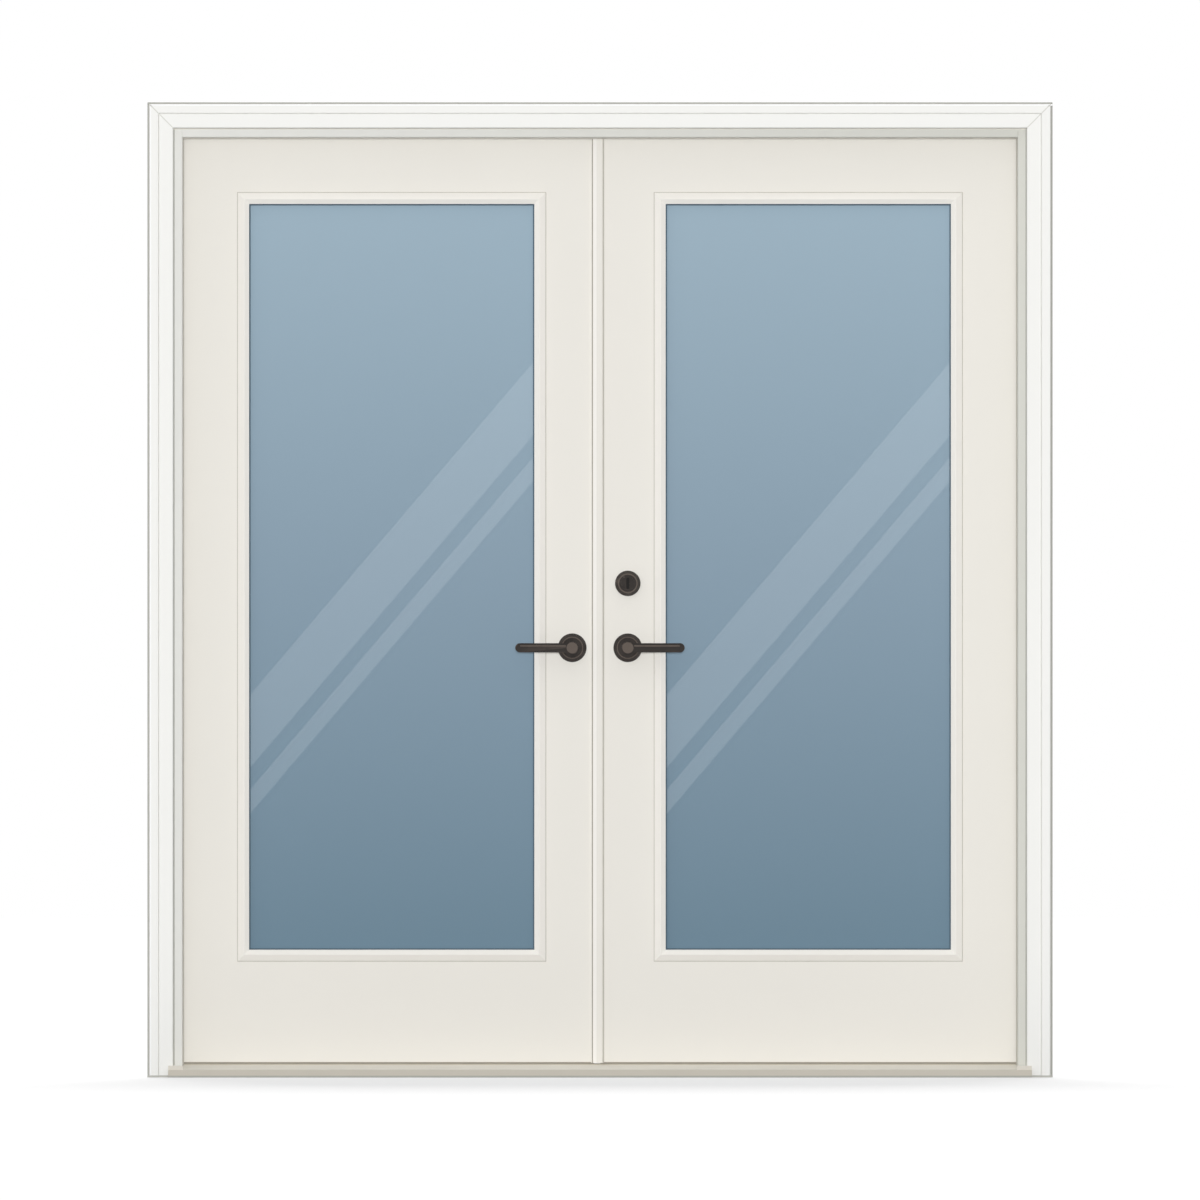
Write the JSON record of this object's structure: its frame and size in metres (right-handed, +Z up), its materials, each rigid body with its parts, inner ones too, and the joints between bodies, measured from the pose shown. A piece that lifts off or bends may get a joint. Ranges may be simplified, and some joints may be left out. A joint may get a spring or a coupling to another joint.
{
  "type": "double_door",
  "caption": "Full-lite inswing double door in its frame, with casing, sill, astragal, hinges, bronze levers and deadbolt",
  "frame": {"origin": "on the floor at the sill's underside, midway between the jambs, in the plane of the jambs' outside edge", "axes": "X to the right as seen from outside, Y into the house, Z up"},
  "size_m": [1.9606, 0.2216, 2.1119],
  "materials": {
    "trim_paint": "smooth satin white paint",
    "jamb_paint": "smooth satin off-white paint",
    "leaf_paint": "satin warm white paint on sheet steel",
    "astragal_paint": "satin warm white paint on an extrusion",
    "lite_frame_plastic": "moulded, satin warm white",
    "lite_glass": "clear sheet that looks blue-grey",
    "spacer_metal": "dull mill finish",
    "stile_wood": "bare sawn softwood",
    "foam_core": "rigid insulating foam",
    "sill_composite": "dull tan composite",
    "sill_metal": "tan coating on sheet",
    "cap_composite": "dull tan composite",
    "seal_rubber": "soft taupe seal",
    "hinge_steel": "dark bronze coating",
    "lock_steel": "brushed satin",
    "bronze_trim": "dark oil-rubbed bronze, satin"
  },
  "bodies": {
    "frame": {"left_jamb": "jamb_paint", "right_jamb": "jamb_paint", "head_jamb": "jamb_paint", "door_stops": "jamb_paint", "left_casing": "trim_paint", "right_casing": "trim_paint", "head_casing": "trim_paint", "sill_base": "sill_composite", "sill_deck": "sill_metal", "threshold_cap": "cap_composite", "left_weatherstrip": "seal_rubber", "right_weatherstrip": "seal_rubber", "head_weatherstrip": "seal_rubber", "flush_bolt_plates": "lock_steel", "left_jamb_hinge_leaves": "hinge_steel", "right_jamb_hinge_leaves": "hinge_steel"},
    "inactive_door": {"left_outer_skin": "leaf_paint", "left_inner_skin": "leaf_paint", "left_stile_frame": "stile_wood", "left_core": "foam_core", "left_outer_lite_frame": "lite_frame_plastic", "left_inner_lite_frame": "lite_frame_plastic", "left_outer_pane": "lite_glass", "left_inner_pane": "lite_glass", "left_glass_spacer": "spacer_metal", "left_sweep": "seal_rubber", "left_door_hinge_leaves": "hinge_steel", "left_outer_rosette": "bronze_trim", "left_inner_rosette": "bronze_trim", "left_outer_lever": "bronze_trim", "left_inner_lever": "bronze_trim", "astragal_flange": "astragal_paint", "astragal_stem": "astragal_paint", "astragal_seal": "seal_rubber", "lock_strikes": "lock_steel"},
    "active_door": {"right_outer_skin": "leaf_paint", "right_inner_skin": "leaf_paint", "right_stile_frame": "stile_wood", "right_core": "foam_core", "right_outer_lite_frame": "lite_frame_plastic", "right_inner_lite_frame": "lite_frame_plastic", "right_outer_pane": "lite_glass", "right_inner_pane": "lite_glass", "right_glass_spacer": "spacer_metal", "right_sweep": "seal_rubber", "right_door_hinge_leaves": "hinge_steel", "right_outer_rosette": "bronze_trim", "right_inner_rosette": "bronze_trim", "lock_cases": "lock_steel", "deadbolt_collar": "bronze_trim", "deadbolt_rose": "bronze_trim"},
    "active_lever": {"right_outer_lever": "bronze_trim", "right_inner_lever": "bronze_trim", "lever_spindle": "lock_steel"},
    "latch": {"latch_bolt": "lock_steel"},
    "thumb_turn": {"thumb_turn": "bronze_trim"},
    "deadbolt": {"deadbolt_bolt": "lock_steel"},
    "key_plug": {"key_plug": "bronze_trim"},
    "top_bolt": {"top_flush_bolt": "lock_steel"},
    "bottom_bolt": {"bottom_flush_bolt": "lock_steel"}
  },
  "joints": [
    {"name": "inactive_door_swing", "type": "hinge", "parent": "frame", "child": "inactive_door", "pos_m": [-0.9159, 0.123, 1], "axis": [0, 0, 1], "range_deg": [0, 110]},
    {"name": "active_door_swing", "type": "hinge", "parent": "frame", "child": "active_door", "pos_m": [0.9159, 0.123, 1], "axis": [0, 0, -1], "range_deg": [0, 110]},
    {"name": "lever_turn", "type": "hinge", "parent": "active_door", "child": "active_lever", "pos_m": [0.0603, 0.09375, 0.9301], "axis": [0, 1, 0], "range_deg": [0, 50], "stiffness_Nm_per_rad": 1.5, "springref_deg": -34.38},
    {"name": "latch_slide", "type": "slide", "parent": "active_door", "child": "latch", "axis": [-1, 0, 0], "range_m": [0, 0.012]},
    {"name": "thumb_turn_turn", "type": "hinge", "parent": "active_door", "child": "thumb_turn", "pos_m": [0.0603, 0.09375, 1.0698], "axis": [0, 1, 0], "range_deg": [0, 90]},
    {"name": "deadbolt_slide", "type": "slide", "parent": "active_door", "child": "deadbolt", "axis": [-1, 0, 0], "range_m": [0, 0.025]},
    {"name": "key_plug_turn", "type": "hinge", "parent": "active_door", "child": "key_plug", "pos_m": [0.0603, 0.06, 1.0698], "axis": [0, 1, 0], "range_deg": [0, 90]},
    {"name": "top_bolt_slide", "type": "slide", "parent": "inactive_door", "child": "top_bolt", "axis": [0, 0, 1], "range_m": [0, 0.016]},
    {"name": "bottom_bolt_slide", "type": "slide", "parent": "inactive_door", "child": "bottom_bolt", "axis": [0, 0, -1], "range_m": [0, 0.016]}
  ],
  "couplings": [
    {"joint": "thumb_turn_turn", "follows": "deadbolt_slide", "rad_per_m": 62.832}
  ]
}
